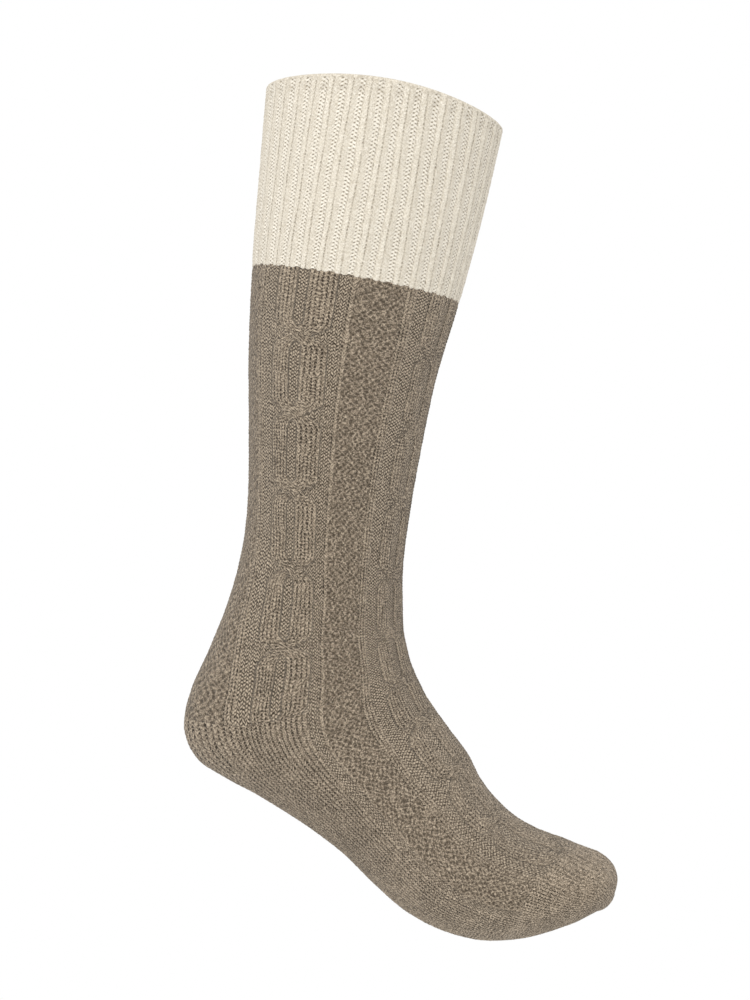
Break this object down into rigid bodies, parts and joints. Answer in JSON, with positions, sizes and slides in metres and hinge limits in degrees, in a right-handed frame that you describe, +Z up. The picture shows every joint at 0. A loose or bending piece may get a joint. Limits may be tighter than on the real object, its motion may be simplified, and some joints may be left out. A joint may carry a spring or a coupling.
{
  "type": "wool knee sock",
  "caption": "Knee-high knitted wool sock in worn shape: ribbed cream cuff, cabled taupe leg and instep, plain heel, sole and toe, hollow and open at the top.",
  "frame": {"origin": "middle of the leg opening, in the plane of the cuff's rim", "axes": "+Z up the leg, +X towards the toes, +Y away from the side that the picture shows"},
  "size_m": [0.2156, 0.1139, 0.4234],
  "materials": {
    "cream_wool": "cream ribbed wool knit, matt",
    "taupe_wool": "taupe heather wool knit, matt"
  },
  "bodies": {
    "root": {"cuff": "cream_wool", "leg": "taupe_wool", "heel": "taupe_wool", "instep": "taupe_wool", "sole": "taupe_wool", "toe": "taupe_wool"}
  },
  "joints": []
}
